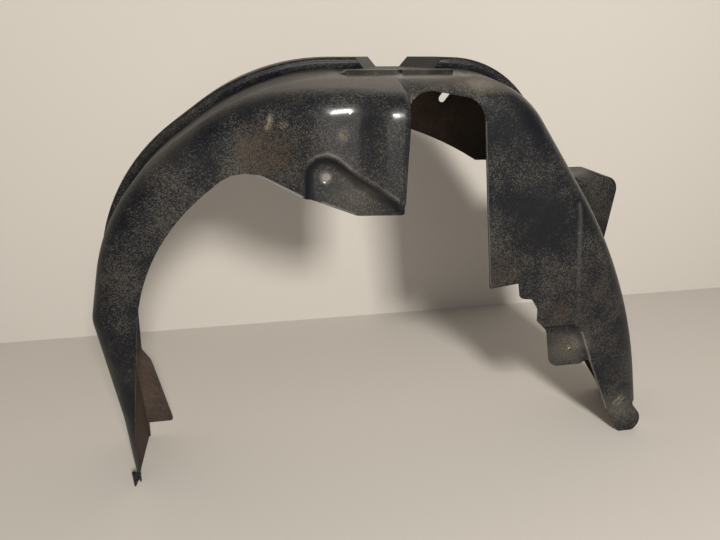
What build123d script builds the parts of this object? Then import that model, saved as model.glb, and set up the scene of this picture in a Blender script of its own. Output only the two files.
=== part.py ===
from build123d import *
import os
from math import cos, radians, sin, tan

# Wheel arch liner: one moulded plastic sheet that bends over a wheel and stands on its two legs.
# While it is drawn, X runs along the car from the tip of the front foot, Y points out from the
# inner wall to the fender, and Z is up from the floor. All sizes are in millimetres.

# Sheet, and the radius between the roof and the inner wall
sheet = 2.5
shoulder_radius = 30.0

# How far the legs are drawn on below the floor, before they are cut off at it
floor_depth = 60.0

# Roof line in side view, where the roof meets the raised band
front_foot_x = -3.0
front_shin_x = -6.0
front_shin_z = 92.0
front_shin_radius = 100.0
front_knee_x = -18.0
front_knee_z = 227.0
front_knee_radius = 41.0
front_haunch_x = 18.5
front_haunch_z = 366.5
front_haunch_radius = 234.0
front_crown_x = 186.0
front_crown_radius = 259.0
crown_z = 481.0
rear_crown_x = 463.0
rear_crown_radius = 117.0
rear_haunch_x = 647.0
rear_haunch_z = 236.0
rear_haunch_radius = 753.0
rear_foot_x = 724.0

# Across the car: the roof draws in towards the inner wall, and the outer lip leans in at the feet
step_y = 100.0
far_y = 165.0
foot_far_y = 101.0
lean_z = 300.0
lean_radius = 80.0
roof_draw_in = 9.0
roof_shift = 6.0

# Rear facet of the inner wall, behind a leaning crease
crease_x = 583.0
crease_lean = 0.137
crease_radius = 36.0
facet_angle = 4.5

# Raised band along the outer half of the roof, and the funnel-shaped gap in it
band_rise = 11.5
band_edge_radius = 4.0
band_front_z = 70.0
band_rear_z = 230.0
gap_x = 344.0
gap_front_width = 84.0
gap_back_width = 30.0
gap_slope = 0.9

# Box on the rear leg
box_front_x = 540.0
box_top_z = 344.0
box_rear_x = 652.0
box_radius = 20.0
box_base_z = 190.0
box_base_x = 641.0

# Flat pad on the roof before the gap, split by a narrow groove
pad_front_x = 257.0
pad_ramp = 20.0
pad_rear_x = 392.0
pad_near_y = 50.0
pad_drop = 0.5
pad_groove_x = 334.0
pad_groove_width = 6.0
pad_groove_depth = 10.0

# Bulge of the inner wall, with a ridge towards the notch. Its face leads out from a little behind
# the wall's own face, so that the two run together softly.
bulge_lead_x = 90.0
bulge_lead = 6.0
bulge_start_x = 172.0
bulge_start_radius = 200.0
bulge_full_x = 238.0
bulge_full_radius = 80.0
bulge_depth = 20.0
ridge_start_x = 274.0
ridge_start_radius = 50.0
ridge_full_x = 303.0
ridge_full_radius = 40.0
ridge_depth = 32.0
bulge_end_x = 325.0
bulge_end_radius = 8.0
bulge_base_z = 345.0
bulge_lean = 0.03
bulge_top_y = 23.0
bulge_top_fall = 0.235

# Bracket: a sunk panel with a dished screw hole, under the bulge
bracket_hole_x = 245.0
bracket_hole_z = 381.0
bracket_hole_radius = 4.0
bracket_dish_radius = 8.0
bracket_dish_depth = 1.2
bracket_y = -11.0
bracket_tilt = 7.0
bracket_radius = 16.0
bracket_fall = 37.7
bracket_slope = 38.0
bracket_rim_radius = 5.0
bracket_edge_z = 340.5
bracket_edge_x = 276.0
bracket_edge_radius = 15.0
bracket_front_x = 222.0
bracket_front_z = 361.0
bracket_front_radius = 6.0

# Free edge of the inner wall, from the front foot to the bracket
front_edge_foot_x = 2.0
front_edge_shin_x = 8.5
front_edge_shin_z = 62.0
front_edge_leg_radius = 60.0
front_edge_knee_x = 36.0
front_edge_knee_z = 222.0
front_edge_haunch_x = 56.0
front_edge_haunch_z = 314.0
front_edge_haunch_radius = 225.0
front_edge_peak_x = 158.0
front_edge_peak_z = 393.0
front_edge_peak_radius = 45.0

# Notch for the strut
notch_front_lip = 1.0
notch_front_taper = 4.0
notch_front_radius = 5.0
notch_drop = 14.5
notch_fall = 14.0
notch_rear_x = 411.5
notch_radius = 26.0
notch_foot_x = 438.0
notch_foot_z = 238.0
notch_foot_radius = 2.0

# Stepped lower edge of the inner wall behind the notch
ledge_x = 474.0
ledge_rise = 4.5
ledge_radius = 3.0
step_one_x = 478.0
step_one_z = 222.0
step_two_x = 494.0
step_two_z = 219.5
step_three_x = 503.5
step_three_z = 205.0
step_four_x = 505.0
step_four_z = 188.0
step_radius = 6.0

# Rear tab: a sunk panel with a screw hole, cut free from the leg by a slit
tab_hole_x = 561.0
tab_hole_z = 139.0
tab_hole_radius = 2.5
tab_depth = 9.0
tab_slope = 45.0
tab_top_z = 172.0
tab_front_x = 525.0
tab_front_drop = 4.0
tab_foot_x = 537.0
tab_foot_z = 114.0
tab_rear_x = 582.0
tab_radius = 14.0
tab_rear_radius = 8.0
tab_side_x = 570.0
tab_side_z = 152.0
tab_low_x = 583.0
tab_low_z = 120.0
slit_x = 587.5
slit_z = 124.0
slit_radius = 0.8
rear_edge_inset = 76.0

# Rear toe: the flat round tongue at the end of the rear leg, which kicks out at the floor
toe_inset = 60.0
toe_radius = 19.5
toe_width = 37.0
toe_height = 48.0
toe_lap = 10.0
toe_tilt = 6.0

# Hook at the tip of the front foot
hook_width = 11.0
hook_height = 21.0
hook_slant = 4.0
hook_radius = 1.0
hook_y = 1.0
hook_tilt = 24.0

# Outer lip: the wheel opening, a tab on the front leg and a shelf behind the notch
opening_x = 226.0
opening_drop = 53.0
opening_radius = 469.0
lip_tab_z = 20.0
lip_tab_x = 33.0
lip_tab_radius = 3.0
lip_tab_step_x = 12.0
lip_tab_step_z = 108.0
lip_tab_step_radius = 20.0
lip_front_x = 1.0
lip_front_z = 124.0
lip_front_radius = 8.0
lip_knee_x = 4.0
lip_knee_z = 245.0
lip_haunch_x = 60.0
lip_haunch_z = 345.0
lip_crown_x = 110.0
shelf_front_x = 472.0
shelf_rear_x = 495.0
shelf_z = 359.0
shelf_front_radius = 4.0
shelf_rear_radius = 30.0
lip_rear_x = 615.0
lip_rear_z = 225.0
lip_heel_inset = 74.0
lip_heel_z = 60.0
lip_foot_inset = 36.0
lip_radius = 60.0

# Slot in the outer lip
slot_x = 421.0
slot_drop = 36.0
slot_length = 19.0
slot_width = 9.5
slot_angle = 52.0

# Where the cuts in the inner wall end and those in the outer lip begin
middle_y = 0.9 * step_y

# Room that the cutting shapes have in front of, behind and all round the part
near_reach = 3 * ridge_depth
far_reach = 2 * far_y
reach = 1.25 * rear_foot_x


def rounded(corners):
    """A closed face from corners, each an X, a height and a radius."""
    points = [(x, z) for x, z, radius in corners]
    return make_face(FilletPolyline(*points, radius=[radius for x, z, radius in corners], close=True))


def drawn_in(face, inset):
    """A face with its outline moved inwards."""
    return offset(face, amount=-inset, kind=Kind.INTERSECTION)


def across(face, y_from, y_to):
    """A side-view face stood up and pulled out across the car."""
    return extrude(Plane.XZ.offset(-y_from) * face, amount=y_to - y_from, dir=(0, 1, 0))


def roof_outline(inset):
    """Side outline of the roof beside the raised band, drawn in by an inset."""
    corners = [
        (front_foot_x, -floor_depth, 0),
        (front_shin_x, front_shin_z, front_shin_radius),
        (front_knee_x, front_knee_z, front_knee_radius),
        (front_haunch_x, front_haunch_z, front_haunch_radius),
        (front_crown_x, crown_z, front_crown_radius),
        (rear_crown_x, crown_z, rear_crown_radius),
        (rear_haunch_x, rear_haunch_z, rear_haunch_radius),
        (rear_foot_x, -floor_depth, 0),
    ]
    return drawn_in(rounded(corners), inset)


def roof_section(y, inset):
    """The roof's side outline at one distance from the inner wall."""
    draw = 1.0 - y / step_y
    outline = Pos(-roof_shift * draw, 0) * roof_outline(inset + roof_draw_in * draw)
    return Plane.XZ.offset(-y) * outline


def drawn_roof(inset):
    """Solid under the roof, from in front of the bulge to the raised band."""
    return loft([roof_section(-2 * ridge_depth, inset), roof_section(step_y, inset)], ruled=True)


def wall_border(body, least_z):
    """Edges where a wall that faces the wheel's inner side meets the roof."""
    walls = [face for face in body.faces() if face.normal_at().Y < -0.5]
    edges = [edge for wall in walls for edge in wall.edges()]
    centres = [tuple(round(value, 2) for value in edge.center()) for edge in edges]
    border = [edge for edge, centre in zip(edges, centres) if centres.count(centre) == 1]
    return [edge for edge in border if edge.center().Z > least_z]


def main_block(inset):
    """Roof and inner wall as one solid, with a round shoulder between them."""
    corners = [
        (-reach, inset, 0),
        (crease_x, inset, crease_radius - inset),
        (crease_x + reach, inset + reach * tan(radians(facet_angle)), 0),
        (crease_x + reach, reach, 0),
        (-reach, reach, 0),
    ]
    plan = Pos(crease_lean * floor_depth, 0, -floor_depth) * rounded(corners)
    wall = extrude(plan, amount=reach, dir=(-crease_lean, 0, 1))
    block = drawn_roof(inset) & wall
    block = fillet(wall_border(block, -floor_depth / 2), radius=shoulder_radius - inset)
    return block + across(roof_outline(inset), step_y, far_reach)


def bulge_roof(inset):
    """Solid under the bulge's own top, which leaves the roof and falls towards the front."""
    places = (-1.25 * ridge_depth, 2 * ridge_depth)
    sections = [roof_section(y, inset + bulge_top_fall * (bulge_top_y - y)) for y in places]
    return loft(sections, ruled=True)


def bulge_block(inset):
    """Bulge on the inner wall, whose rear end is the front edge of the notch."""
    corners = [
        (bulge_lead_x, 2 * ridge_depth, 0),
        (bulge_lead_x, bulge_lead, 0),
        (bulge_start_x, 0, bulge_start_radius),
        (bulge_full_x, -bulge_depth, bulge_full_radius),
        (ridge_start_x, -bulge_depth, ridge_start_radius),
        (ridge_full_x, -ridge_depth, ridge_full_radius),
        (bulge_end_x, -ridge_depth, 0),
        (bulge_end_x, 2 * ridge_depth, 0),
    ]
    plan = Pos(-bulge_lean * bulge_base_z, 0, 0) * drawn_in(rounded(corners), inset)
    block = extrude(plan, amount=reach, dir=(bulge_lean, 0, 1)) & bulge_roof(inset)
    front = wall_border(block, crown_z - bulge_base_z / 3)
    block = fillet(front, radius=shoulder_radius - inset)
    end = [face for face in block.faces() if face.normal_at().X > 0.9]
    edges = [edge for face in end for edge in face.edges() if edge.center().Y < -ridge_depth / 2]
    return fillet(edges, radius=bulge_end_radius - inset) & drawn_roof(inset)


def outer_side(inset):
    """Everything inside the outer lip's plane, which leans in towards the feet."""
    corners = [
        (-reach, -floor_depth, 0),
        (foot_far_y - (far_y - foot_far_y) * floor_depth / lean_z, -floor_depth, 0),
        (far_y, lean_z, lean_radius),
        (far_y, reach, 0),
        (-reach, reach, 0),
    ]
    return extrude(Plane.YZ.offset(-reach) * drawn_in(rounded(corners), inset), amount=3 * reach)


def gap_block(inset):
    """The gap in the raised band, wider by an inset on each side."""
    over = (far_y - step_y) / 4
    narrowing = (gap_front_width - gap_back_width) / 8

    def plan(rise):
        front = gap_front_width / 2 + narrowing + inset + gap_slope * rise
        back = gap_back_width / 2 - narrowing + inset + gap_slope * rise
        corners = [
            (gap_x - front, step_y - over, 0),
            (gap_x + front, step_y - over, 0),
            (gap_x + back, far_y + over, 0),
            (gap_x - back, far_y + over, 0),
        ]
        return Pos(0, 0, crown_z + rise) * rounded(corners)

    return loft([plan(-sheet), plan(2 * band_rise)], ruled=True)


def band_block(inset):
    """Raised band, with its round front edge, its gap and its two ends."""
    band = across(roof_outline(inset - band_rise), step_y + inset, far_reach)
    front = band.faces().sort_by(Axis.Y)[0]
    edges = [edge for edge in front.edges() if edge.center().Z > -floor_depth / 2]
    band = fillet(edges, radius=band_edge_radius - inset)
    corners = [
        (-reach, band_front_z + inset, 0),
        (-reach, reach, 0),
        (2 * reach, reach, 0),
        (2 * reach, band_rear_z + inset, 0),
        (front_crown_x, band_rear_z + inset, 0),
        (front_crown_x, band_front_z + inset, 0),
    ]
    return (band & across(rounded(corners), 0, reach)) - gap_block(inset)


def box_block(inset):
    """Box on the rear leg, level with the raised band's inner side."""
    corners = [
        (box_front_x, box_base_z, 0),
        (box_front_x, box_top_z, 0),
        (box_rear_x, box_top_z, box_radius),
        (box_base_x, box_base_z, 0),
    ]
    return across(drawn_in(rounded(corners), inset), step_y + inset, far_reach)


def pad_block(inset):
    """Flat pad on the roof before the gap, which ramps up at its front end, with its groove."""
    top_z = crown_z - pad_drop
    base_z = crown_z - 2 * band_rise
    corners = [
        (pad_front_x, base_z, 0),
        (pad_front_x, crown_z - roof_draw_in, 0),
        (pad_front_x + pad_ramp, top_z, 0),
        (pad_rear_x, top_z, 0),
        (pad_rear_x, base_z, 0),
    ]
    pad = across(drawn_in(rounded(corners), inset), pad_near_y + inset, step_y + 2 * sheet)
    groove = Box(pad_groove_width + 2 * inset, 2 * (pad_groove_depth + inset), 4 * band_rise)
    return pad - Pos(pad_groove_x, pad_near_y, crown_z) * groove


def bracket_plane(inset):
    """Plane of the bracket's sunk panel, facing the inner side, with the hole at its origin."""
    turn = tan(radians(bracket_tilt))
    plane = Plane(
        origin=(bracket_hole_x, bracket_y, bracket_hole_z),
        x_dir=(1, -turn, 0),
        z_dir=(-turn, -1, 0),
    )
    return plane.offset(-inset)


def bracket_pocket(inset):
    """Space in front of the bracket's panel, round about the hole and open at the lower edge."""
    half_turn = radians(90 + bracket_fall) / 2
    top = bracket_radius * tan(half_turn)
    width = bulge_end_x - bracket_hole_x + 2 * bracket_radius
    low = bracket_edge_z - bracket_hole_z - floor_depth
    corners = [
        (-bracket_radius, low, 0),
        (-bracket_radius, top, bracket_radius),
        (width, top - (width + bracket_radius) * tan(radians(bracket_fall)), 0),
        (width, low, 0),
    ]
    face = offset(rounded(corners), amount=inset, kind=Kind.ARC)
    return extrude(bracket_plane(inset) * face, amount=2 * ridge_depth, taper=-bracket_slope)


def sunk_bracket(body, inset):
    """A body with the bracket's panel sunk into it, and the rim of the sunk part rounded."""
    pocket = bracket_pocket(inset)
    sunk = body - pocket
    rim = [edge for edge in new_edges(body, pocket, combined=sunk) if edge.center().Z > bracket_edge_z]
    return fillet(rim, radius=bracket_rim_radius - inset)


def bracket_hole():
    """Screw hole of the bracket, with a shallow dish round it."""
    hole = Cylinder(bracket_hole_radius, 8 * sheet)
    dish = Cone(
        bracket_hole_radius,
        bracket_dish_radius,
        bracket_dish_depth,
        align=(Align.CENTER, Align.CENTER, Align.MAX),
    )
    return bracket_plane(0) * (hole + dish)


def tab_pocket(inset):
    """Space in front of the rear tab's panel, open at its lower and front edges."""
    corners = [
        (step_one_x, tab_top_z, 0),
        (tab_hole_x, tab_top_z, tab_radius),
        (tab_side_x, tab_side_z, tab_radius),
        (tab_low_x, tab_low_z, 0),
        (tab_low_x, tab_foot_z - floor_depth, 0),
        (step_one_x, tab_foot_z - floor_depth, 0),
    ]
    face = offset(rounded(corners), amount=inset, kind=Kind.ARC)
    face = Plane.XZ.offset(-tab_depth - inset) * face
    return extrude(face, amount=floor_depth, dir=(0, -1, 0), taper=-tab_slope)


def tab_hole():
    """Screw hole of the rear tab."""
    return across(Pos(tab_hole_x, tab_hole_z) * Circle(tab_hole_radius), -near_reach, middle_y)


def toe_x():
    """Middle of the rear toe."""
    return rear_foot_x - toe_inset


def toe():
    """Flat round tongue in front of the rear leg's end."""
    tilt = radians(toe_tilt)
    plane = Plane(origin=(toe_x(), 0, 0), x_dir=(1, 0, 0), z_dir=(0, -cos(tilt), sin(tilt)))
    disc = Pos(0, toe_radius - sheet) * Circle(toe_radius)
    top = Line((-toe_width, toe_height), (0, toe_height))
    return extrude(plane * make_hull([*disc.edges(), *top.edges()]), amount=-sheet)


def toe_clearance():
    """Room behind the rear toe, where the leg's wall and shoulder end."""
    size = 4 * toe_radius
    block = Box(size, size, toe_height - toe_lap, align=(Align.CENTER, Align.MAX, Align.MIN))
    return Pos(toe_x(), shoulder_radius, 0) * block


def hook():
    """Small pointed hook that hangs from the tip of the front foot."""
    tilt = radians(hook_tilt)
    plane = Plane(
        origin=(0, hook_y, 0),
        x_dir=(1, 0, 0),
        z_dir=(0, -cos(tilt), sin(tilt)),
    )
    corners = [
        (0, 0, hook_radius),
        (hook_width + front_foot_x, hook_height - hook_slant, hook_radius),
        (front_foot_x, hook_height, hook_radius),
    ]
    return extrude(plane * rounded(corners), amount=-sheet)


def inner_wall_openings():
    """All that is open in the inner wall: under its free edge, the notch and between the legs."""
    notch_front_x = bulge_end_x + notch_front_lip
    notch_top_z = crown_z - notch_drop
    rear_edge_x = rear_foot_x - rear_edge_inset
    corners = [
        (front_edge_foot_x, -floor_depth, 0),
        (front_edge_shin_x, front_edge_shin_z, front_edge_leg_radius),
        (front_edge_knee_x, front_edge_knee_z, front_edge_leg_radius),
        (front_edge_haunch_x, front_edge_haunch_z, front_edge_haunch_radius),
        (front_edge_peak_x, front_edge_peak_z, front_edge_peak_radius),
        (bracket_front_x, bracket_front_z, bracket_front_radius),
        (bracket_edge_x, bracket_edge_z, bracket_edge_radius),
        (notch_front_x, bracket_edge_z, notch_front_radius),
        (notch_front_x + notch_front_taper, notch_top_z, notch_radius),
        (notch_rear_x, notch_top_z - notch_fall, notch_radius),
        (notch_foot_x, notch_foot_z, notch_foot_radius),
        (ledge_x, notch_foot_z + ledge_rise, ledge_radius),
        (step_one_x, step_one_z, step_radius),
        (step_two_x, step_two_z, step_radius),
        (step_three_x, step_three_z, step_radius),
        (step_four_x, step_four_z, step_radius),
        (tab_front_x, tab_top_z - tab_front_drop, tab_radius),
        (tab_foot_x, tab_foot_z, tab_radius),
        (tab_rear_x, tab_foot_z, tab_rear_radius),
        (slit_x, slit_z, slit_radius),
        (rear_edge_x, 0, 0),
        (rear_edge_x, -floor_depth, 0),
    ]
    return across(rounded(corners), -near_reach, middle_y)


def outer_lip_openings():
    """All that is open in the outer lip: the wheel opening and between the legs."""
    rear_lip_x = rear_foot_x - lip_foot_inset
    opening_z = crown_z - opening_drop - opening_radius
    corners = [
        (0, -floor_depth, 0),
        (0, lip_tab_z, 0),
        (lip_tab_x, lip_tab_z, lip_tab_radius),
        (lip_tab_step_x, lip_tab_step_z, lip_tab_step_radius),
        (lip_front_x, lip_front_z, lip_front_radius),
        (lip_knee_x, lip_knee_z, lip_radius),
        (lip_haunch_x, lip_haunch_z, lip_radius),
        (lip_crown_x, crown_z, 0),
        (lip_crown_x, reach, 0),
        (shelf_front_x, reach, 0),
        (shelf_front_x, shelf_z, shelf_front_radius),
        (shelf_rear_x, shelf_z, shelf_rear_radius),
        (lip_rear_x, lip_rear_z, lip_radius),
        (rear_foot_x - lip_heel_inset, lip_heel_z, lip_radius),
        (rear_lip_x, 0, 0),
        (rear_lip_x, -floor_depth, 0),
    ]
    below = Pos(0, shelf_z) * Rectangle(4 * reach, reach, align=(Align.CENTER, Align.MAX))
    arc = Pos(opening_x, opening_z) * Circle(opening_radius)
    return across(rounded(corners) & (below + arc), middle_y, far_reach)


def lip_slot():
    """Slot in the outer lip."""
    face = Pos(slot_x, crown_z - slot_drop) * Rot(0, 0, slot_angle) * SlotOverall(slot_length, slot_width)
    return across(face, middle_y, far_reach)


def envelope(inset):
    """The liner's outer shape, or with an inset the hollow under its sheet."""
    body = main_block(inset) + band_block(inset) + box_block(inset) + pad_block(inset)
    body += bulge_block(inset)
    body &= outer_side(inset)
    return sunk_bracket(body, inset) - tab_pocket(inset)


def wheel_arch_liner():
    """The whole sheet, standing on the floor with its box centred over the origin."""
    below_floor = Box(4 * reach, 4 * reach, reach, align=(Align.CENTER, Align.CENTER, Align.MAX))
    liner = envelope(0) - envelope(sheet)
    for cut in (inner_wall_openings(), outer_lip_openings(), lip_slot(), bracket_hole(), tab_hole()):
        liner -= cut
    liner = liner - toe_clearance() + toe() + hook() - below_floor
    box = liner.bounding_box()
    return Pos(-box.center().X, -box.center().Y, -box.min.Z) * liner


os.makedirs("parts", exist_ok=True)
export_step(wheel_arch_liner(), "parts/wheel_arch_liner.step")
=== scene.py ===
import math

import bmesh
import bpy
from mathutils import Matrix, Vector
from mathutils.bvhtree import BVHTree


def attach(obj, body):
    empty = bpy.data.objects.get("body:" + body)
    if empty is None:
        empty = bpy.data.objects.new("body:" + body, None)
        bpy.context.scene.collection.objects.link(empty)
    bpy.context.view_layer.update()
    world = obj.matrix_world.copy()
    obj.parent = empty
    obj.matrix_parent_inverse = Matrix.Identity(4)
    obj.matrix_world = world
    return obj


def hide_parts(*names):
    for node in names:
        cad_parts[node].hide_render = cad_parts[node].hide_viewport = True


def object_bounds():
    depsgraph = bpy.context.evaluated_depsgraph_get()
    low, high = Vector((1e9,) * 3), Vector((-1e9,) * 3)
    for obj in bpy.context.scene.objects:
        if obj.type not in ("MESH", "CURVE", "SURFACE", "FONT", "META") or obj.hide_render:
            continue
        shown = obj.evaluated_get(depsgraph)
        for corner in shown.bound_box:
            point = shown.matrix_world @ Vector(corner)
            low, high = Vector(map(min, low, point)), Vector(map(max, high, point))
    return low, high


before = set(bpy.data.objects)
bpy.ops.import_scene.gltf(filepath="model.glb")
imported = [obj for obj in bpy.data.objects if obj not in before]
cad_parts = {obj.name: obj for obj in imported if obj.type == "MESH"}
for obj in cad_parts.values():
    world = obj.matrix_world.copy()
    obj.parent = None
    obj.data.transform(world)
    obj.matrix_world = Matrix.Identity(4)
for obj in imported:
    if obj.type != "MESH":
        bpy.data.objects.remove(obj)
cad_low, cad_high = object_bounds()

bl_info = {
    "name": "Wheel arch liner",
    "version": (1, 0, 0),
    "blender": (4, 5, 0),
    "location": "3D View > Sidebar > Liner",
    "description": "A worn black wheel arch liner on its packed frame, and a plain pale stage for it",
    "category": "Add Mesh",
}

NODE = "wheel_arch_liner"

# How the sheet's faces are told apart: parts of a normal along an axis
FACING_UP = 0.9
FACING_ASIDE = 0.7
FACING_DOWN = -0.99
ALONG_WALL = 0.05
RISING = 0.5

# Lengths for the same sorting, in metres or as shares of the sheet's thickness
ROOF_DEPTH = 0.01
RAY_LIFT = 0.0001
SOLE_SHARE = 0.2
RAY_SINK_SHARE = 0.02
RIM_DEPTH_SHARE = 1.5

# How much of the outside's colour each layer of dust takes, and how far the painted shade on the risers
# clears the dust to darken them
SPECK_SHARE = 0.53
STAIN_FILM_SHARE = 0.25
HAZE_SHARE = 0.03
RISER_SHADE_CLEARING = 0.5

# Lamps, room and camera
LAMP_COLOR = (1.0, 0.96, 0.9)
ROOM_COLOR = (1.0, 0.98, 0.95, 1.0)
SENSOR_WIDTH = 36.0
BACK_EDGE_ROOM = 0.001

# Where dust lies thicker, or with a negative strength thinner: the middle, the reach and the strength
STAINS = (
    ((-0.15, -0.07, 0.408), (0.06, 0.05, 0.052), 0.25),
    ((-0.32, -0.0665, 0.28), (0.06, 0.05, 0.06), 0.1),
    # The third entry makes the front leg's lower part darker
    ((-0.33, -0.0665, 0.13), (0.06, 0.06, 0.1), -0.22),
    ((-0.058, -0.095, 0.43), (0.045, 0.04, 0.05), -0.12),
    ((0.11, -0.06, 0.43), (0.07, 0.05, 0.06), -0.22),
    ((0.15, -0.0665, 0.34), (0.06, 0.05, 0.09), -0.2),
    ((0.108, -0.0665, 0.262), (0.055, 0.05, 0.05), 0.17),
    ((0.194, -0.0665, 0.195), (0.045, 0.05, 0.04), 0.2),
    ((0.245, -0.0635, 0.224), (0.016, 0.04, 0.035), 0.2),
    ((0.214, -0.0575, 0.138), (0.04, 0.04, 0.028), 0.1),
    ((0.29, 0.034, 0.29), (0.05, 0.05, 0.04), 0.15),
    ((0.31, -0.06, 0.03), (0.04, 0.05, 0.05), 0.06),
)

# Pale scuffs, given as the stains are
SCUFFS = (((-0.078, -0.0865, 0.424), (0.008, 0.03, 0.011), 0.4),)

# Pale strokes of scratches: both ends, the width and the strength
STROKES = (
    ((-0.1455, -0.0722, 0.443), (-0.15, -0.0708, 0.43), 0.0048, 0.6),
    ((-0.1385, -0.0748, 0.4365), (-0.1335, -0.0762, 0.4315), 0.0014, 0.45),
    ((-0.1365, -0.0755, 0.438), (-0.1305, -0.077, 0.4325), 0.0012, 0.4),
    ((-0.139, -0.0745, 0.433), (-0.1345, -0.076, 0.4285), 0.0012, 0.35),
    ((0.301, -0.0615, 0.047), (0.31, -0.0612, 0.056), 0.0045, 0.5),
    ((0.308, -0.0615, 0.045), (0.315, -0.0605, 0.052), 0.004, 0.4),
)

# Where the plastic has kept its gloss, given as the stains are
GLOSS = (
    ((-0.07, -0.085, 0.41), (0.15, 0.1, 0.13), 1.0),
    ((0.0, -0.035, 0.475), (0.26, 0.065, 0.06), 1.0),
    ((0.17, -0.03, 0.39), (0.16, 0.05, 0.2), 0.8),
    ((0.28, 0.045, 0.3), (0.07, 0.05, 0.09), 0.9),
)

# Where a thin even film of dust has settled, given as the stains are. The first two, over the notch and
# along the roof, are also a painted reflection of the pale wall that brightens the roof
DUST_FILM_AND_REFLECTION = (
    ((0.07, -0.05, 0.469), (0.09, 0.035, 0.016), 0.72),
    ((-0.1, -0.03, 0.465), (0.24, 0.055, 0.05), 0.33),
    ((-0.01, -0.0165, 0.478), (0.09, 0.012, 0.008), 0.5),
    ((-0.25, 0.04, 0.41), (0.13, 0.03, 0.07), 0.16),
    ((-0.2575, -0.045, 0.402), (0.08, 0.03, 0.05), 0.3),
    ((0.289, 0.0335, 0.32), (0.06, 0.02, 0.04), 0.07),
    ((-0.06, -0.08, 0.365), (0.06, 0.02, 0.035), 0.2),
    ((0.214, -0.0575, 0.138), (0.045, 0.03, 0.035), 0.72),
    ((0.31, -0.06, 0.035), (0.04, 0.04, 0.04), 0.26),
)

# Painted shade on the feet of the rims round the sunk bracket and the tab: dust is cleared and gloss
# dulled along these lines, so the risers render dark: both ends, the width and the strength
RISER_SHADE = (
    ((-0.1128, -0.078, 0.355), (-0.1128, -0.078, 0.388), 0.0078, 1.4),
    ((-0.1128, -0.078, 0.388), (-0.103, -0.079, 0.3985), 0.0078, 1.4),
    ((-0.103, -0.079, 0.3985), (-0.088, -0.08, 0.398), 0.0078, 1.4),
    ((-0.088, -0.08, 0.398), (-0.061, -0.083, 0.3765), 0.0078, 1.4),
    ((-0.061, -0.083, 0.3765), (-0.016, -0.092, 0.346), 0.0098, 1.4),
    ((0.17, -0.062, 0.1755), (0.213, -0.062, 0.1755), 0.008, 0.9),
    ((0.213, -0.062, 0.1755), (0.2334, -0.0605, 0.1524), 0.007, 0.9),
    ((0.2334, -0.0605, 0.1524), (0.2401, -0.0609, 0.137), 0.006, 0.7),
)

# Painted highlights: pale lines along creases, edges and the rear shoulder, and a pale ring round the
# bracket's hole, given as the strokes are
PAINTED_HIGHLIGHTS = (
    ((0.1985, -0.0635, 0.336), (0.203, -0.065, 0.302), 0.005, 0.2),
    ((0.203, -0.065, 0.302), (0.2074, -0.0664, 0.268), 0.005, 0.15),
    ((0.2074, -0.0664, 0.268), (0.213, -0.0664, 0.234), 0.005, 0.1),
    ((0.213, -0.0664, 0.234), (0.2206, -0.0662, 0.186), 0.005, 0.06),
    ((-0.19, -0.0665, 0.3828), (-0.176, -0.0665, 0.3843), 0.0018, 0.6),
    ((-0.176, -0.0665, 0.3843), (-0.1597, -0.0685, 0.3828), 0.0018, 0.9),
    ((-0.1597, -0.0685, 0.3828), (-0.12, -0.0808, 0.363), 0.0018, 1.0),
    ((-0.1125, -0.083, 0.399), (-0.105, -0.0845, 0.404), 0.0024, 0.15),
    ((-0.105, -0.0845, 0.404), (-0.0943, -0.086, 0.4066), 0.0024, 0.3),
    ((-0.0943, -0.086, 0.4066), (-0.084, -0.0865, 0.403), 0.0024, 0.4),
    ((-0.084, -0.0865, 0.403), (-0.07, -0.0867, 0.3905), 0.0024, 0.3),
    ((-0.07, -0.0867, 0.3905), (-0.0381, -0.0965, 0.3705), 0.0024, 0.15),
    ((-0.0381, -0.0965, 0.3705), (-0.0249, -0.0983, 0.3605), 0.003, 0.25),
    ((-0.095, -0.0759, 0.381), (-0.094, -0.0759, 0.381), 0.0085, 1.0),
    ((-0.1, -0.0768, 0.3553), (-0.0865, -0.0785, 0.3505), 0.0018, 0.5),
    ((-0.0865, -0.0785, 0.3505), (-0.0661, -0.081, 0.3429), 0.0018, 0.35),
    ((0.0748, -0.0665, 0.43), (0.0978, -0.0665, 0.244), 0.0016, 0.3),
    ((0.231, -0.0633, 0.1665), (0.2495, -0.0641, 0.1235), 0.002, 0.5),
    ((0.2482, -0.0641, 0.124), (0.299, -0.062, 0.02), 0.002, 0.45),
    ((0.13, -0.043, 0.448), (0.17, -0.045, 0.403), 0.012, 0.35),
    ((0.17, -0.045, 0.403), (0.205, -0.048, 0.352), 0.012, 0.4),
    ((0.205, -0.048, 0.352), (0.243, -0.05, 0.292), 0.012, 0.3),
    ((0.243, -0.05, 0.292), (0.284, -0.05, 0.216), 0.012, 0.12),
)


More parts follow.
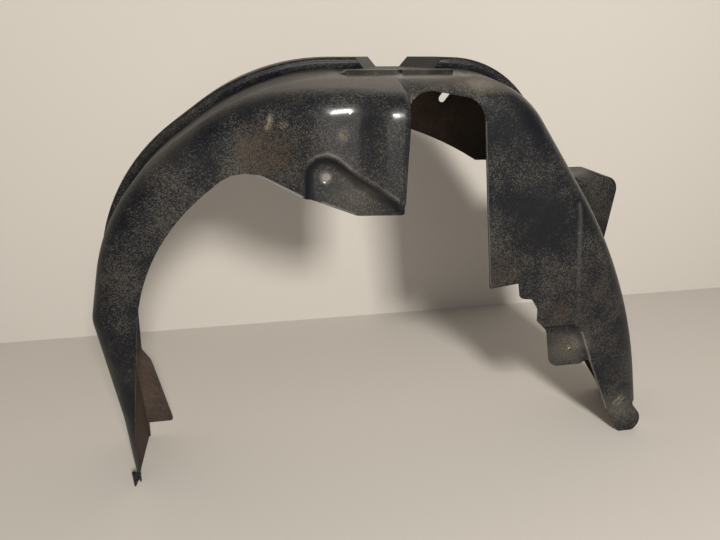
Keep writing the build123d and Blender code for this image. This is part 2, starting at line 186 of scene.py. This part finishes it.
class LinerSettings(bpy.types.PropertyGroup):
    """Sizes and colours of the liner's sheet."""

    sheet_thickness: bpy.props.FloatProperty(
        name="Sheet thickness",
        description="Thickness of the moulded sheet, by which its cut edges are told from its faces",
        default=0.0025,
        unit="LENGTH",
    )
    merge_distance: bpy.props.FloatProperty(
        name="Merge distance",
        description="Points of the frame's mesh that are closer than this become one",
        default=0.00002,
        precision=6,
        unit="LENGTH",
    )
    smooth_angle: bpy.props.FloatProperty(
        name="Smooth angle",
        description="Folds sharper than this stay sharp",
        default=math.radians(31),
        subtype="ANGLE",
    )
    fold_angle: bpy.props.FloatProperty(
        name="Fold angle",
        description="The outside of the sheet ends at outward folds sharper than this",
        default=math.radians(60),
        subtype="ANGLE",
    )
    foot_height: bpy.props.FloatProperty(
        name="Foot height",
        description="Height up to which the hook and the toe are set on the legs",
        default=0.06,
        unit="LENGTH",
    )
    plastic_color: bpy.props.FloatVectorProperty(
        name="Plastic",
        description="Colour of the clean black plastic",
        default=(0.0055, 0.0064, 0.0092, 1.0),
        size=4,
        subtype="COLOR",
    )
    dust_color: bpy.props.FloatVectorProperty(
        name="Road dust",
        description="Colour of the fine tan dust on the outside",
        default=(0.15, 0.135, 0.11, 1.0),
        size=4,
        subtype="COLOR",
    )
    mud_color: bpy.props.FloatVectorProperty(
        name="Dried mud",
        description="Colour of the brown stains on the outside",
        default=(0.125, 0.094, 0.064, 1.0),
        size=4,
        subtype="COLOR",
    )
    inner_color: bpy.props.FloatVectorProperty(
        name="Inner grime",
        description="Colour of the brown grime on the wheel's side",
        default=(0.085, 0.059, 0.041, 1.0),
        size=4,
        subtype="COLOR",
    )
    # Colour of the painted highlights along creases, edges and the rear shoulder, and round the bracket's
    # hole
    highlight_color: bpy.props.FloatVectorProperty(
        name="Crease",
        description="Colour of the pale lines rubbed into creases and edges",
        default=(0.2, 0.2, 0.185, 1.0),
        size=4,
        subtype="COLOR",
    )
    scuff_color: bpy.props.FloatVectorProperty(
        name="Scuffs",
        description="Colour of scuffs, scratches and rubbed cut edges",
        default=(0.27, 0.225, 0.165, 1.0),
        size=4,
        subtype="COLOR",
    )


class StageSettings(bpy.types.PropertyGroup):
    """Camera, lights and backdrop."""

    camera_place: bpy.props.FloatVectorProperty(
        name="Camera place",
        description="Where the camera stands",
        default=(-0.14858, -0.6055, 0.5),
        size=3,
        subtype="XYZ_LENGTH",
    )
    camera_yaw: bpy.props.FloatProperty(
        name="Camera yaw",
        description="How far the camera is turned towards the rear leg",
        default=math.radians(9.5),
        subtype="ANGLE",
    )
    camera_pitch: bpy.props.FloatProperty(
        name="Camera pitch",
        description="How far the camera looks down",
        default=math.radians(22.54),
        subtype="ANGLE",
    )
    camera_lens: bpy.props.FloatProperty(
        name="Lens",
        description="Focal length on a 36 mm sensor, in millimetres",
        default=26.5,
    )
    wall_distance: bpy.props.FloatProperty(
        name="Wall distance",
        description="How far the backdrop's wall stands behind the liner's middle",
        default=0.345,
        unit="LENGTH",
    )
    stage_reach: bpy.props.FloatProperty(
        name="Stage reach",
        description="How far the floor and the wall run to each side",
        default=3.0,
        unit="LENGTH",
    )
    floor_color: bpy.props.FloatVectorProperty(
        name="Floor",
        description="Colour of the pale floor and wall",
        default=(0.62, 0.585, 0.54, 1.0),
        size=4,
        subtype="COLOR",
    )
    key_place: bpy.props.FloatVectorProperty(
        name="Key lamp place",
        description="Where the soft key lamp hangs",
        default=(0.2, -1.75, 1.2),
        size=3,
        subtype="XYZ_LENGTH",
    )
    key_size: bpy.props.FloatProperty(
        name="Key lamp size",
        description="Side of the soft key lamp",
        default=0.32,
        unit="LENGTH",
    )
    key_power: bpy.props.FloatProperty(
        name="Key lamp power",
        description="Power of the key lamp in watts",
        default=43.5,
    )
    card_place: bpy.props.FloatVectorProperty(
        name="Card place",
        description="Where the wide soft card behind the camera stands",
        default=(-0.05, -2.1, 0.4),
        size=3,
        subtype="XYZ_LENGTH",
    )
    card_width: bpy.props.FloatProperty(
        name="Card width",
        description="Width of the soft card",
        default=1.2,
        unit="LENGTH",
    )
    card_height: bpy.props.FloatProperty(
        name="Card height",
        description="Height of the soft card",
        default=0.7,
        unit="LENGTH",
    )
    card_power: bpy.props.FloatProperty(
        name="Card power",
        description="Power of the soft card in watts",
        default=3.0,
    )
    sky_strength: bpy.props.FloatProperty(
        name="Room light",
        description="Strength of the even light from all round",
        default=0.19,
    )


def select_only(piece):
    """Makes one object the only selected and the active one."""
    bpy.ops.object.select_all(action="DESELECT")
    piece.select_set(True)
    bpy.context.view_layer.objects.active = piece


def new_material(name):
    """An empty node material with its output, as (material, nodes, links, output)."""
    material = bpy.data.materials.new(name)
    material.use_nodes = True
    nodes = material.node_tree.nodes
    nodes.clear()
    return material, nodes, material.node_tree.links, nodes.new("ShaderNodeOutputMaterial")


def math_node(tree, operation, first, second=0.0, clamp=False):
    """A Math node on two inputs, each a socket or a number, as its output socket."""
    node = tree.nodes.new("ShaderNodeMath")
    node.operation = operation
    node.use_clamp = clamp
    for socket, value in zip(node.inputs, (first, second)):
        if isinstance(value, (int, float)):
            socket.default_value = value
        else:
            tree.links.new(value, socket)
    return node.outputs[0]


def ramp_node(tree, value, low, high, to_low=0.0, to_high=1.0):
    """A smooth step from low to high, as its output socket."""
    node = tree.nodes.new("ShaderNodeMapRange")
    node.interpolation_type = "SMOOTHSTEP"
    tree.links.new(value, node.inputs["Value"])
    for name, number in (("From Min", low), ("From Max", high), ("To Min", to_low), ("To Max", to_high)):
        node.inputs[name].default_value = number
    return node.outputs["Result"]


def noise_node(tree, vector, scale, detail=3.0, roughness=0.55):
    """A noise texture on a vector, as its value socket. The scale is a socket or a number."""
    node = tree.nodes.new("ShaderNodeTexNoise")
    tree.links.new(vector, node.inputs["Vector"])
    if isinstance(scale, (int, float)):
        node.inputs["Scale"].default_value = scale
    else:
        tree.links.new(scale, node.inputs["Scale"])
    node.inputs["Detail"].default_value = detail
    node.inputs["Roughness"].default_value = roughness
    return node.outputs["Fac"]


def mix_colors(tree, mask, first, second):
    """First colour where the mask is 0 and second where it is 1, as a socket."""
    node = tree.nodes.new("ShaderNodeMix")
    node.data_type = "RGBA"
    tree.links.new(mask, node.inputs["Factor"])
    for name, value in (("A", first), ("B", second)):
        socket = next(s for s in node.inputs if s.name == name and s.type == "RGBA")
        if isinstance(value, bpy.types.NodeSocket):
            tree.links.new(value, socket)
        else:
            socket.default_value = value
    return next(s for s in node.outputs if s.type == "RGBA")


def new_group(name, inputs, outputs):
    """An empty shader node group with number and vector sockets, as (tree, inputs, outputs)."""
    tree = bpy.data.node_groups.new(name, "ShaderNodeTree")
    for label, default in inputs:
        kind = "NodeSocketVector" if isinstance(default, tuple) else "NodeSocketFloat"
        socket = tree.interface.new_socket(name=label, in_out="INPUT", socket_type=kind)
        socket.default_value = default
    for label in outputs:
        tree.interface.new_socket(name=label, in_out="OUTPUT", socket_type="NodeSocketFloat")
    return tree, tree.nodes.new("NodeGroupInput"), tree.nodes.new("NodeGroupOutput")


def object_place(tree):
    """The object's own coordinates, as a socket."""
    return tree.nodes.new("ShaderNodeTexCoord").outputs["Object"]


def vector_node(tree, operation, first, second=None):
    """A Vector Math node on one or two vector sockets, as the node."""
    node = tree.nodes.new("ShaderNodeVectorMath")
    node.operation = operation
    tree.links.new(first, node.inputs[0])
    if second is not None:
        tree.links.new(second, node.inputs[1])
    return node


def dust_group():
    """Fine dust specks, thick in some patches and thin in others."""
    inputs = [("Speck Scale", 700.0), ("Patch Scale", 14.0), ("Cover", 0.0)]
    tree, given, result = new_group("dust_specks", inputs, ["Mask", "Patches"])
    noise_middle = 0.5
    patch_contrast = 1.8
    cover_weight = 2.0
    red_part = (1.0, 0.0, 0.0)
    place = object_place(tree)
    cells = tree.nodes.new("ShaderNodeTexVoronoi")
    tree.links.new(place, cells.inputs["Vector"])
    tree.links.new(given.outputs["Speck Scale"], cells.inputs["Scale"])
    draw = vector_node(tree, "DOT_PRODUCT", cells.outputs["Color"])
    draw.inputs[1].default_value = red_part
    patches = noise_node(tree, place, given.outputs["Patch Scale"], detail=5.0, roughness=0.62)
    lift = math_node(tree, "SUBTRACT", patches, noise_middle)
    lift = math_node(tree, "MULTIPLY", lift, patch_contrast)
    thicker = math_node(tree, "MULTIPLY", given.outputs["Cover"], cover_weight)
    lift = math_node(tree, "ADD", lift, thicker)
    powder = noise_node(tree, place, given.outputs["Speck Scale"], detail=2.0, roughness=0.8)
    powder = math_node(tree, "SUBTRACT", powder, noise_middle)
    chance = math_node(tree, "ADD", draw.outputs["Value"], powder)
    chance = math_node(tree, "ADD", chance, lift)
    shown = ramp_node(tree, chance, low=0.45, high=1.0)
    dots = ramp_node(tree, cells.outputs["Distance"], low=0.25, high=0.75, to_low=1.0, to_high=0.15)
    tree.links.new(math_node(tree, "MULTIPLY", shown, dots), result.inputs["Mask"])
    tree.links.new(ramp_node(tree, patches, low=0.38, high=0.66), result.inputs["Patches"])
    return tree


def spot_group():
    """A soft-edged spot round one place of the liner, as wide on each axis as its reach."""
    inputs = [("Centre", (0.0, 0.0, 0.0)), ("Reach", (0.05, 0.05, 0.05)), ("Strength", 1.0)]
    # The spot draws dust, stains and gloss, and also the painted reflection on the roof
    tree, given, result = new_group("wear_and_painted_light_spot", inputs, ["Mask"])
    away = vector_node(tree, "SUBTRACT", object_place(tree), given.outputs["Centre"])
    away = vector_node(tree, "DIVIDE", away.outputs["Vector"], given.outputs["Reach"])
    distance = vector_node(tree, "LENGTH", away.outputs["Vector"]).outputs["Value"]
    spot = ramp_node(tree, distance, low=0.0, high=1.0, to_low=1.0, to_high=0.0)
    tree.links.new(math_node(tree, "MULTIPLY", spot, given.outputs["Strength"]), result.inputs["Mask"])
    return tree


def streak_group():
    """A soft-edged streak along a straight line between two places of the liner."""
    inputs = [("Start", (0.0, 0.0, 0.0)), ("End", (0.0, 0.0, 0.1)), ("Width", 0.002), ("Strength", 1.0)]
    # The streak draws scratches, and also the painted highlights and the painted shade on the risers
    tree, given, result = new_group("wear_and_painted_light_streak", inputs, ["Mask"])
    away = vector_node(tree, "SUBTRACT", object_place(tree), given.outputs["Start"]).outputs["Vector"]
    line = vector_node(tree, "SUBTRACT", given.outputs["End"], given.outputs["Start"]).outputs["Vector"]
    along = vector_node(tree, "DOT_PRODUCT", away, line).outputs["Value"]
    length = vector_node(tree, "DOT_PRODUCT", line, line).outputs["Value"]
    share = math_node(tree, "DIVIDE", along, length, clamp=True)
    foot = vector_node(tree, "SCALE", line)
    tree.links.new(share, foot.inputs["Scale"])
    gap = vector_node(tree, "DISTANCE", away, foot.outputs["Vector"]).outputs["Value"]
    side = math_node(tree, "DIVIDE", gap, given.outputs["Width"])
    streak = ramp_node(tree, side, low=0.0, high=1.0, to_low=1.0, to_high=0.0)
    tree.links.new(math_node(tree, "MULTIPLY", streak, given.outputs["Strength"]), result.inputs["Mask"])
    return tree


def grain_group():
    """Height of the moulded skin: a fine grain over the slow waves of a thin warm-formed sheet."""
    inputs = [("Grain Scale", 900.0), ("Wave Scale", 9.0), ("Wave Share", 0.6)]
    tree, given, result = new_group("moulded_grain", inputs, ["Height"])
    place = object_place(tree)
    grain = noise_node(tree, place, given.outputs["Grain Scale"], detail=2.0, roughness=0.6)
    waves = noise_node(tree, place, given.outputs["Wave Scale"], detail=2.0, roughness=0.5)
    waves = math_node(tree, "MULTIPLY", waves, given.outputs["Wave Share"])
    tree.links.new(math_node(tree, "ADD", grain, waves), result.inputs["Height"])
    return tree


def placed_group(tree, group, **values):
    """A node group placed in a material with its own values."""
    node = tree.nodes.new("ShaderNodeGroup")
    node.node_tree = group
    for name, value in values.items():
        node.inputs[name.replace("_", " ").title()].default_value = value
    return node


def bumped(tree, height, strength, distance):
    """A Bump node over a height socket, as its normal socket."""
    node = tree.nodes.new("ShaderNodeBump")
    node.inputs["Strength"].default_value = strength
    node.inputs["Distance"].default_value = distance
    tree.links.new(height, node.inputs["Height"])
    return node.outputs["Normal"]


def summed_spots(tree, spot, spots):
    """Several worn spots added up, as a socket."""
    total = None
    for centre, reach, strength in spots:
        mask = placed_group(tree, spot, centre=centre, reach=reach, strength=strength).outputs["Mask"]
        total = mask if total is None else math_node(tree, "ADD", total, mask)
    return total


def largest_streak(tree, streak, streaks):
    """The strongest of several worn streaks at each place, as a socket."""
    total = None
    for start, end, width, strength in streaks:
        node = placed_group(tree, streak, start=start, end=end, width=width, strength=strength)
        mask = node.outputs["Mask"]
        total = mask if total is None else math_node(tree, "MAXIMUM", total, mask)
    return total


def dust_cover(tree, specks, film_and_reflection, stains):
    """How much dust hides the plastic: specks, settled dust, stains and a faint haze, with the painted
    reflection on the roof, as a socket.
    """
    patches = specks.outputs["Patches"]
    stained = ramp_node(tree, stains, low=0.02, high=0.45, to_low=0.0, to_high=STAIN_FILM_SHARE)
    film_and_reflection = math_node(tree, "ADD", film_and_reflection, stained)
    film_and_reflection = math_node(tree, "MULTIPLY", film_and_reflection, ramp_node(tree, patches, low=0.0, high=1.0, to_low=0.5))
    film_and_reflection = math_node(tree, "ADD", film_and_reflection, math_node(tree, "MULTIPLY", patches, HAZE_SHARE))
    fine = math_node(tree, "MULTIPLY", specks.outputs["Mask"], SPECK_SHARE)
    return math_node(tree, "ADD", fine, film_and_reflection, clamp=True)


def rubbed_marks(tree, spot, streak):
    """Scuffs and scratches, broken up by the skin's grain, as a socket."""
    scuffs = summed_spots(tree, spot, SCUFFS)
    marks = math_node(tree, "MAXIMUM", scuffs, largest_streak(tree, streak, STROKES))
    broken = noise_node(tree, object_place(tree), scale=330.0, detail=3.0, roughness=0.7)
    broken = ramp_node(tree, broken, low=0.36, high=0.58, to_low=0.1)
    return math_node(tree, "MULTIPLY", marks, broken)


def kept_gloss(tree, spot, dirty, riser_shade):
    """The gloss that is left where neither dirt nor the painted shade on a riser dulls the skin, as a
    socket.
    """
    dull = math_node(tree, "MAXIMUM", ramp_node(tree, dirty, low=0.1, high=0.8), riser_shade)
    gloss = math_node(tree, "SUBTRACT", summed_spots(tree, spot, GLOSS), dull, clamp=True)
    fine = noise_node(tree, object_place(tree), scale=900.0, detail=1.0, roughness=0.7)
    return math_node(tree, "MULTIPLY", gloss, ramp_node(tree, fine, low=0.35, high=0.62, to_low=0.4))


def outer_plastic(settings, dust, grain, spot, streak):
    """Black half-gloss plastic of the outside, with tan dust, brown stains and scuffs, painted highlights
    along creases and edges, painted shade on the risers, and a dust film that is also a painted reflection
    on the roof.
    """
    material, nodes, links, output = new_material("outer_plastic")
    tree = material.node_tree
    shader = nodes.new("ShaderNodeBsdfPrincipled")
    stains = summed_spots(tree, spot, STAINS)
    # Painted shade on the risers round the sunk bracket and the tab: dust is cleared and gloss dulled
    # along them, so they render dark
    riser_shade = largest_streak(tree, streak, RISER_SHADE)
    specks = placed_group(tree, dust, speck_scale=1000.0, patch_scale=21.0)
    shade_clearing = math_node(tree, "MULTIPLY", riser_shade, RISER_SHADE_CLEARING)
    links.new(math_node(tree, "SUBTRACT", stains, shade_clearing), specks.inputs["Cover"])
    # The dust film's spots also brighten the roof as a painted reflection of the pale wall
    cover = dust_cover(tree, specks, summed_spots(tree, spot, DUST_FILM_AND_REFLECTION), stains)
    brown = ramp_node(tree, stains, low=0.03, high=0.2)
    dirt = mix_colors(tree, brown, settings.dust_color, settings.mud_color)
    color = mix_colors(tree, cover, settings.plastic_color, dirt)
    # Painted highlights: pale lines along creases, edges and the rear shoulder, and a pale ring round the
    # bracket's hole, in the highlight colour
    color = mix_colors(tree, largest_streak(tree, streak, PAINTED_HIGHLIGHTS), color, settings.highlight_color)
    rubbed = rubbed_marks(tree, spot, streak)
    links.new(mix_colors(tree, rubbed, color, settings.scuff_color), shader.inputs["Base Color"])
    dirty = math_node(tree, "MAXIMUM", cover, rubbed)
    rough = ramp_node(tree, dirty, low=0.0, high=0.6, to_low=0.4, to_high=0.8)
    links.new(rough, shader.inputs["Roughness"])
    shader.inputs["Specular IOR Level"].default_value = 0.17
    links.new(kept_gloss(tree, spot, dirty, riser_shade), shader.inputs["Coat Weight"])
    shader.inputs["Coat Roughness"].default_value = 0.2
    skin = placed_group(tree, grain, grain_scale=700.0, wave_scale=14.0, wave_share=5.0)
    normal = bumped(tree, skin.outputs["Height"], strength=0.3, distance=0.0006)
    links.new(normal, shader.inputs["Normal"])
    links.new(shader.outputs["BSDF"], output.inputs["Surface"])
    return material


def inner_plastic(settings, dust, grain):
    """The wheel's side of the sheet, dull brown with dried grime."""
    material, nodes, links, output = new_material("inner_plastic")
    tree = material.node_tree
    shader = nodes.new("ShaderNodeBsdfPrincipled")
    speck_share = 0.3
    patch_share = 0.4
    even_share = 0.25
    specks = placed_group(tree, dust, speck_scale=420.0, patch_scale=11.0, cover=0.1)
    fine = math_node(tree, "MULTIPLY", specks.outputs["Mask"], speck_share)
    broad = math_node(tree, "MULTIPLY", specks.outputs["Patches"], patch_share)
    cover = math_node(tree, "ADD", math_node(tree, "ADD", fine, broad), even_share, clamp=True)
    color = mix_colors(tree, cover, settings.plastic_color, settings.inner_color)
    links.new(color, shader.inputs["Base Color"])
    rough = ramp_node(tree, cover, low=0.0, high=1.0, to_low=0.6, to_high=0.95)
    links.new(rough, shader.inputs["Roughness"])
    shader.inputs["Specular IOR Level"].default_value = 0.25
    skin = placed_group(tree, grain, grain_scale=600.0, wave_scale=11.0, wave_share=1.0)
    normal = bumped(tree, skin.outputs["Height"], strength=0.5, distance=0.0008)
    links.new(normal, shader.inputs["Normal"])
    links.new(shader.outputs["BSDF"], output.inputs["Surface"])
    return material


def cut_edge(settings, dust, grain):
    """The sheet's trimmed edge, paler where it is scuffed."""
    material, nodes, links, output = new_material("cut_edge")
    tree = material.node_tree
    shader = nodes.new("ShaderNodeBsdfPrincipled")
    speck_share = 0.7
    specks = placed_group(tree, dust, speck_scale=380.0, patch_scale=22.0, cover=0.06)
    cover = math_node(tree, "MULTIPLY", specks.outputs["Mask"], speck_share)
    color = mix_colors(tree, cover, settings.plastic_color, settings.scuff_color)
    links.new(color, shader.inputs["Base Color"])
    shader.inputs["Roughness"].default_value = 0.6
    skin = placed_group(tree, grain, grain_scale=900.0, wave_scale=60.0, wave_share=0.5)
    normal = bumped(tree, skin.outputs["Height"], strength=0.5, distance=0.0006)
    links.new(normal, shader.inputs["Normal"])
    links.new(shader.outputs["BSDF"], output.inputs["Surface"])
    return material


def faces_out(face, solid):
    """Whether a face is surely on the outside: on top of the roof, or in the open on either side."""
    place = face.calc_center_median()
    if face.normal.z > FACING_UP and place.z > cad_high.z - ROOF_DEPTH:
        return True
    on_wall = face.normal.y < -FACING_ASIDE and place.y < cad_low.y / 2
    on_lip = face.normal.y > FACING_ASIDE and place.y > cad_high.y / 2
    if not (on_wall or on_lip):
        return False
    return solid.ray_cast(place + RAY_LIFT * face.normal, face.normal)[0] is None


def is_rim(face, solid, thickness):
    """Whether a face is a cut edge: it looks along the sheet, with more than a sheet behind it."""
    place = face.calc_center_median()
    if face.normal.z < FACING_DOWN and place.z < cad_low.z + SOLE_SHARE * thickness:
        return True
    if abs(face.normal.y) > ALONG_WALL or face.normal.z > RISING:
        return False
    depth = solid.ray_cast(place - RAY_SINK_SHARE * thickness * face.normal, -face.normal)[3]
    return depth is None or depth > RIM_DEPTH_SHARE * thickness


def skin_goes_on(edge, fold, foot_height):
    """Whether the same side of the sheet goes on across an edge. Down at the feet, where the hook
    and the toe are set on, it doesn't go on across an inward corner."""
    if len(edge.link_faces) != 2:
        return False
    turn = edge.calc_face_angle_signed()
    at_foot = min(point.co.z for point in edge.verts) < foot_height
    return turn < fold and not (at_foot and turn < -fold)


def sort_faces(piece, settings):
    """Gives each face its material: 0 outside, 1 on the wheel's side, 2 on a cut edge."""
    mesh = bmesh.new()
    mesh.from_mesh(piece.data)
    solid = BVHTree.FromBMesh(mesh)
    for face in mesh.faces:
        face.material_index = 2 if is_rim(face, solid, settings.sheet_thickness) else 1
    walk = [face for face in mesh.faces if face.material_index == 1 and faces_out(face, solid)]
    for face in walk:
        face.material_index = 0
    while walk:
        for edge in walk.pop().edges:
            if skin_goes_on(edge, settings.fold_angle, settings.foot_height):
                fresh = [face for face in edge.link_faces if face.material_index == 1]
                for face in fresh:
                    face.material_index = 0
                walk += fresh
    mesh.to_mesh(piece.data)
    mesh.free()


class LINER_OT_sheet(bpy.types.Operator):
    """Build the liner's moulded sheet from its frame and give it its worn plastic"""

    bl_idname = "liner.build_sheet"
    bl_label = "Build the liner's sheet"
    bl_options = {"REGISTER", "UNDO"}

    def execute(self, context):
        settings = context.scene.liner_settings
        sheet = bpy.data.objects.new("liner_sheet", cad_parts[NODE].data.copy())
        context.collection.objects.link(sheet)
        select_only(sheet)
        bpy.ops.object.mode_set(mode="EDIT")
        bpy.ops.mesh.select_all(action="SELECT")
        bpy.ops.mesh.remove_doubles(threshold=settings.merge_distance)
        bpy.ops.object.mode_set(mode="OBJECT")
        bpy.ops.object.shade_smooth_by_angle(angle=settings.smooth_angle)
        sheet.data.materials.clear()
        dust = dust_group()
        grain = grain_group()
        sheet.data.materials.append(outer_plastic(settings, dust, grain, spot_group(), streak_group()))
        sheet.data.materials.append(inner_plastic(settings, dust, grain))
        sheet.data.materials.append(cut_edge(settings, dust, grain))
        sort_faces(sheet, settings)
        weigh = sheet.modifiers.new("face_weight", "WEIGHTED_NORMAL")
        weigh.keep_sharp = True
        bpy.ops.object.modifier_apply(modifier=weigh.name)
        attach(sheet, "root")
        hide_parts(NODE)
        return {"FINISHED"}


def pale_paper(settings):
    """Matt pale sheet of the stage, see-through from behind so that it never hides the liner."""
    material, nodes, links, output = new_material("pale_paper")
    paper = nodes.new("ShaderNodeBsdfDiffuse")
    paper.inputs["Color"].default_value = settings.floor_color
    clear = nodes.new("ShaderNodeBsdfTransparent")
    side = nodes.new("ShaderNodeNewGeometry")
    mix = nodes.new("ShaderNodeMixShader")
    links.new(side.outputs["Backfacing"], mix.inputs["Fac"])
    links.new(paper.outputs["BSDF"], mix.inputs[1])
    links.new(clear.outputs["BSDF"], mix.inputs[2])
    links.new(mix.outputs["Shader"], output.inputs["Surface"])
    return material


def build_backdrop(settings):
    """Pale floor that turns up into a wall behind the liner."""
    reach = settings.stage_reach
    bpy.ops.object.select_all(action="DESELECT")
    bpy.ops.mesh.primitive_plane_add(size=2 * reach, location=(0, settings.wall_distance - reach, 0))
    floor = bpy.context.active_object
    floor.name = "studio_floor"
    bpy.ops.object.transform_apply(location=True, rotation=False, scale=False)
    bpy.ops.object.mode_set(mode="EDIT")
    bpy.ops.mesh.select_all(action="DESELECT")
    bpy.ops.object.mode_set(mode="OBJECT")
    for edge in floor.data.edges:
        ends = [floor.data.vertices[index].co.y for index in edge.vertices]
        edge.select = min(ends) > settings.wall_distance - BACK_EDGE_ROOM
    bpy.ops.object.mode_set(mode="EDIT")
    bpy.ops.mesh.select_mode(type="EDGE")
    bpy.ops.mesh.extrude_region_move(TRANSFORM_OT_translate={"value": (0, 0, reach)})
    bpy.ops.mesh.select_all(action="SELECT")
    bpy.ops.mesh.normals_make_consistent(inside=False)
    bpy.ops.object.mode_set(mode="OBJECT")
    if floor.data.polygons[0].normal.z < 0:
        floor.data.flip_normals()
    floor.data.materials.append(pale_paper(settings))


def add_lamp(name, place, width, height, power):
    """A soft rectangular lamp that faces the liner."""
    bpy.ops.object.light_add(type="AREA", location=place)
    lamp = bpy.context.active_object
    lamp.name = name
    lamp.data.shape = "RECTANGLE"
    lamp.data.size = width
    lamp.data.size_y = height
    lamp.data.energy = power
    lamp.data.color = LAMP_COLOR
    aim = (cad_low + cad_high) / 2 - Vector(place)
    lamp.rotation_euler = aim.to_track_quat("-Z", "Y").to_euler()


def light_room(settings):
    """Even pale light from all round, one soft key lamp above the camera and a card behind it."""
    world = bpy.data.worlds.new("pale_room")
    bpy.context.scene.world = world
    world.use_nodes = True
    background = world.node_tree.nodes["Background"]
    background.inputs["Color"].default_value = ROOM_COLOR
    background.inputs["Strength"].default_value = settings.sky_strength
    add_lamp("key_lamp", settings.key_place, settings.key_size, settings.key_size, settings.key_power)
    card_size = (settings.card_width, settings.card_height)
    add_lamp("soft_card", settings.card_place, *card_size, settings.card_power)


def place_camera(settings):
    """Camera at the photograph's viewing angle."""
    turn = (math.pi / 2 - settings.camera_pitch, 0.0, -settings.camera_yaw)
    bpy.ops.object.camera_add(location=settings.camera_place, rotation=turn)
    camera = bpy.context.active_object
    camera.data.lens = settings.camera_lens
    camera.data.sensor_width = SENSOR_WIDTH
    bpy.context.scene.camera = camera


class LINER_OT_stage(bpy.types.Operator):
    """Set the pale floor and wall, the soft light and the camera"""

    bl_idname = "liner.build_stage"
    bl_label = "Set the stage"
    bl_options = {"REGISTER", "UNDO"}

    def execute(self, context):
        settings = context.scene.liner_stage
        build_backdrop(settings)
        light_room(settings)
        place_camera(settings)
        context.scene.view_settings.view_transform = "Standard"
        return {"FINISHED"}


class LINER_PT_panel(bpy.types.Panel):
    """Lists the liner's operators and settings"""

    bl_idname = "LINER_PT_panel"
    bl_label = "Wheel arch liner"
    bl_space_type = "VIEW_3D"
    bl_region_type = "UI"
    bl_category = "Liner"

    def draw(self, context):
        for settings in (context.scene.liner_settings, context.scene.liner_stage):
            box = self.layout.box()
            for name in settings.__annotations__:
                box.prop(settings, name)
        self.layout.operator(LINER_OT_sheet.bl_idname)
        self.layout.operator(LINER_OT_stage.bl_idname)


CLASSES = (LinerSettings, StageSettings, LINER_OT_sheet, LINER_OT_stage, LINER_PT_panel)


def register():
    """Registers the classes and their settings."""
    for item in CLASSES:
        bpy.utils.register_class(item)
    bpy.types.Scene.liner_settings = bpy.props.PointerProperty(type=LinerSettings)
    bpy.types.Scene.liner_stage = bpy.props.PointerProperty(type=StageSettings)


def unregister():
    """Takes the classes and their settings away again."""
    del bpy.types.Scene.liner_stage
    del bpy.types.Scene.liner_settings
    for item in reversed(CLASSES):
        bpy.utils.unregister_class(item)


def main():
    """Builds the liner and its stage."""
    register()
    bpy.ops.liner.build_sheet()
    bpy.ops.liner.build_stage()


if __name__ == "__main__":
    main()
